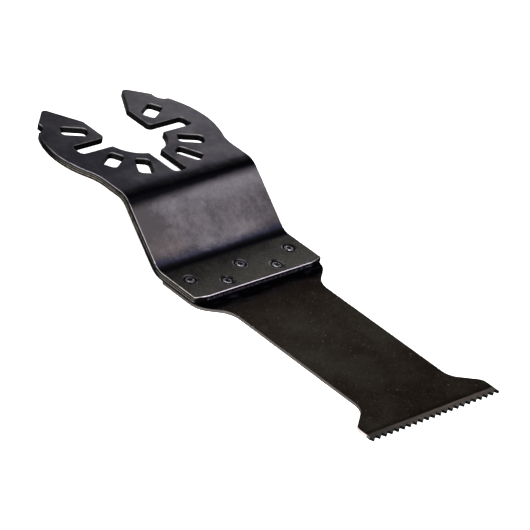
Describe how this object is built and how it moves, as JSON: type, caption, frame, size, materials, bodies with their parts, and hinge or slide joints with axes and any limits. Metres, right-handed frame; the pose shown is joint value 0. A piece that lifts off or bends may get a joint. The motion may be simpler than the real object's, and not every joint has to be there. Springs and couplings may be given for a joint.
{
  "type": "oscillating multi-tool blade",
  "caption": "Plunge-cut saw blade for an oscillating multi-tool: a bent steel shank with an open slotted arbor head, a thin necked blade spot-welded under it, and fine raked teeth along the front.",
  "frame": {"origin": "centre of the arbor mouth and of its ring of slots and holes, on the face of the head that seats against the tool", "axes": "+X across the blade, +Y back towards the open end of the mouth, so that the teeth point along -Y, and +Z out of the seating face towards the tool"},
  "size_m": [0.036, 0.0956, 0.011],
  "materials": {
    "shank_black_oxide": "black oxide on stamped steel, satin, rolled edges rubbed brighter",
    "blade_dark_coating": "dark brown-black coating on thin spring steel, satin, finely speckled",
    "tooth_steel": "ground tool steel under a thin dark coating"
  },
  "bodies": {
    "root": {"arbor_shank": "shank_black_oxide", "saw_blade": "blade_dark_coating", "tooth_strip": "tooth_steel"}
  },
  "joints": []
}
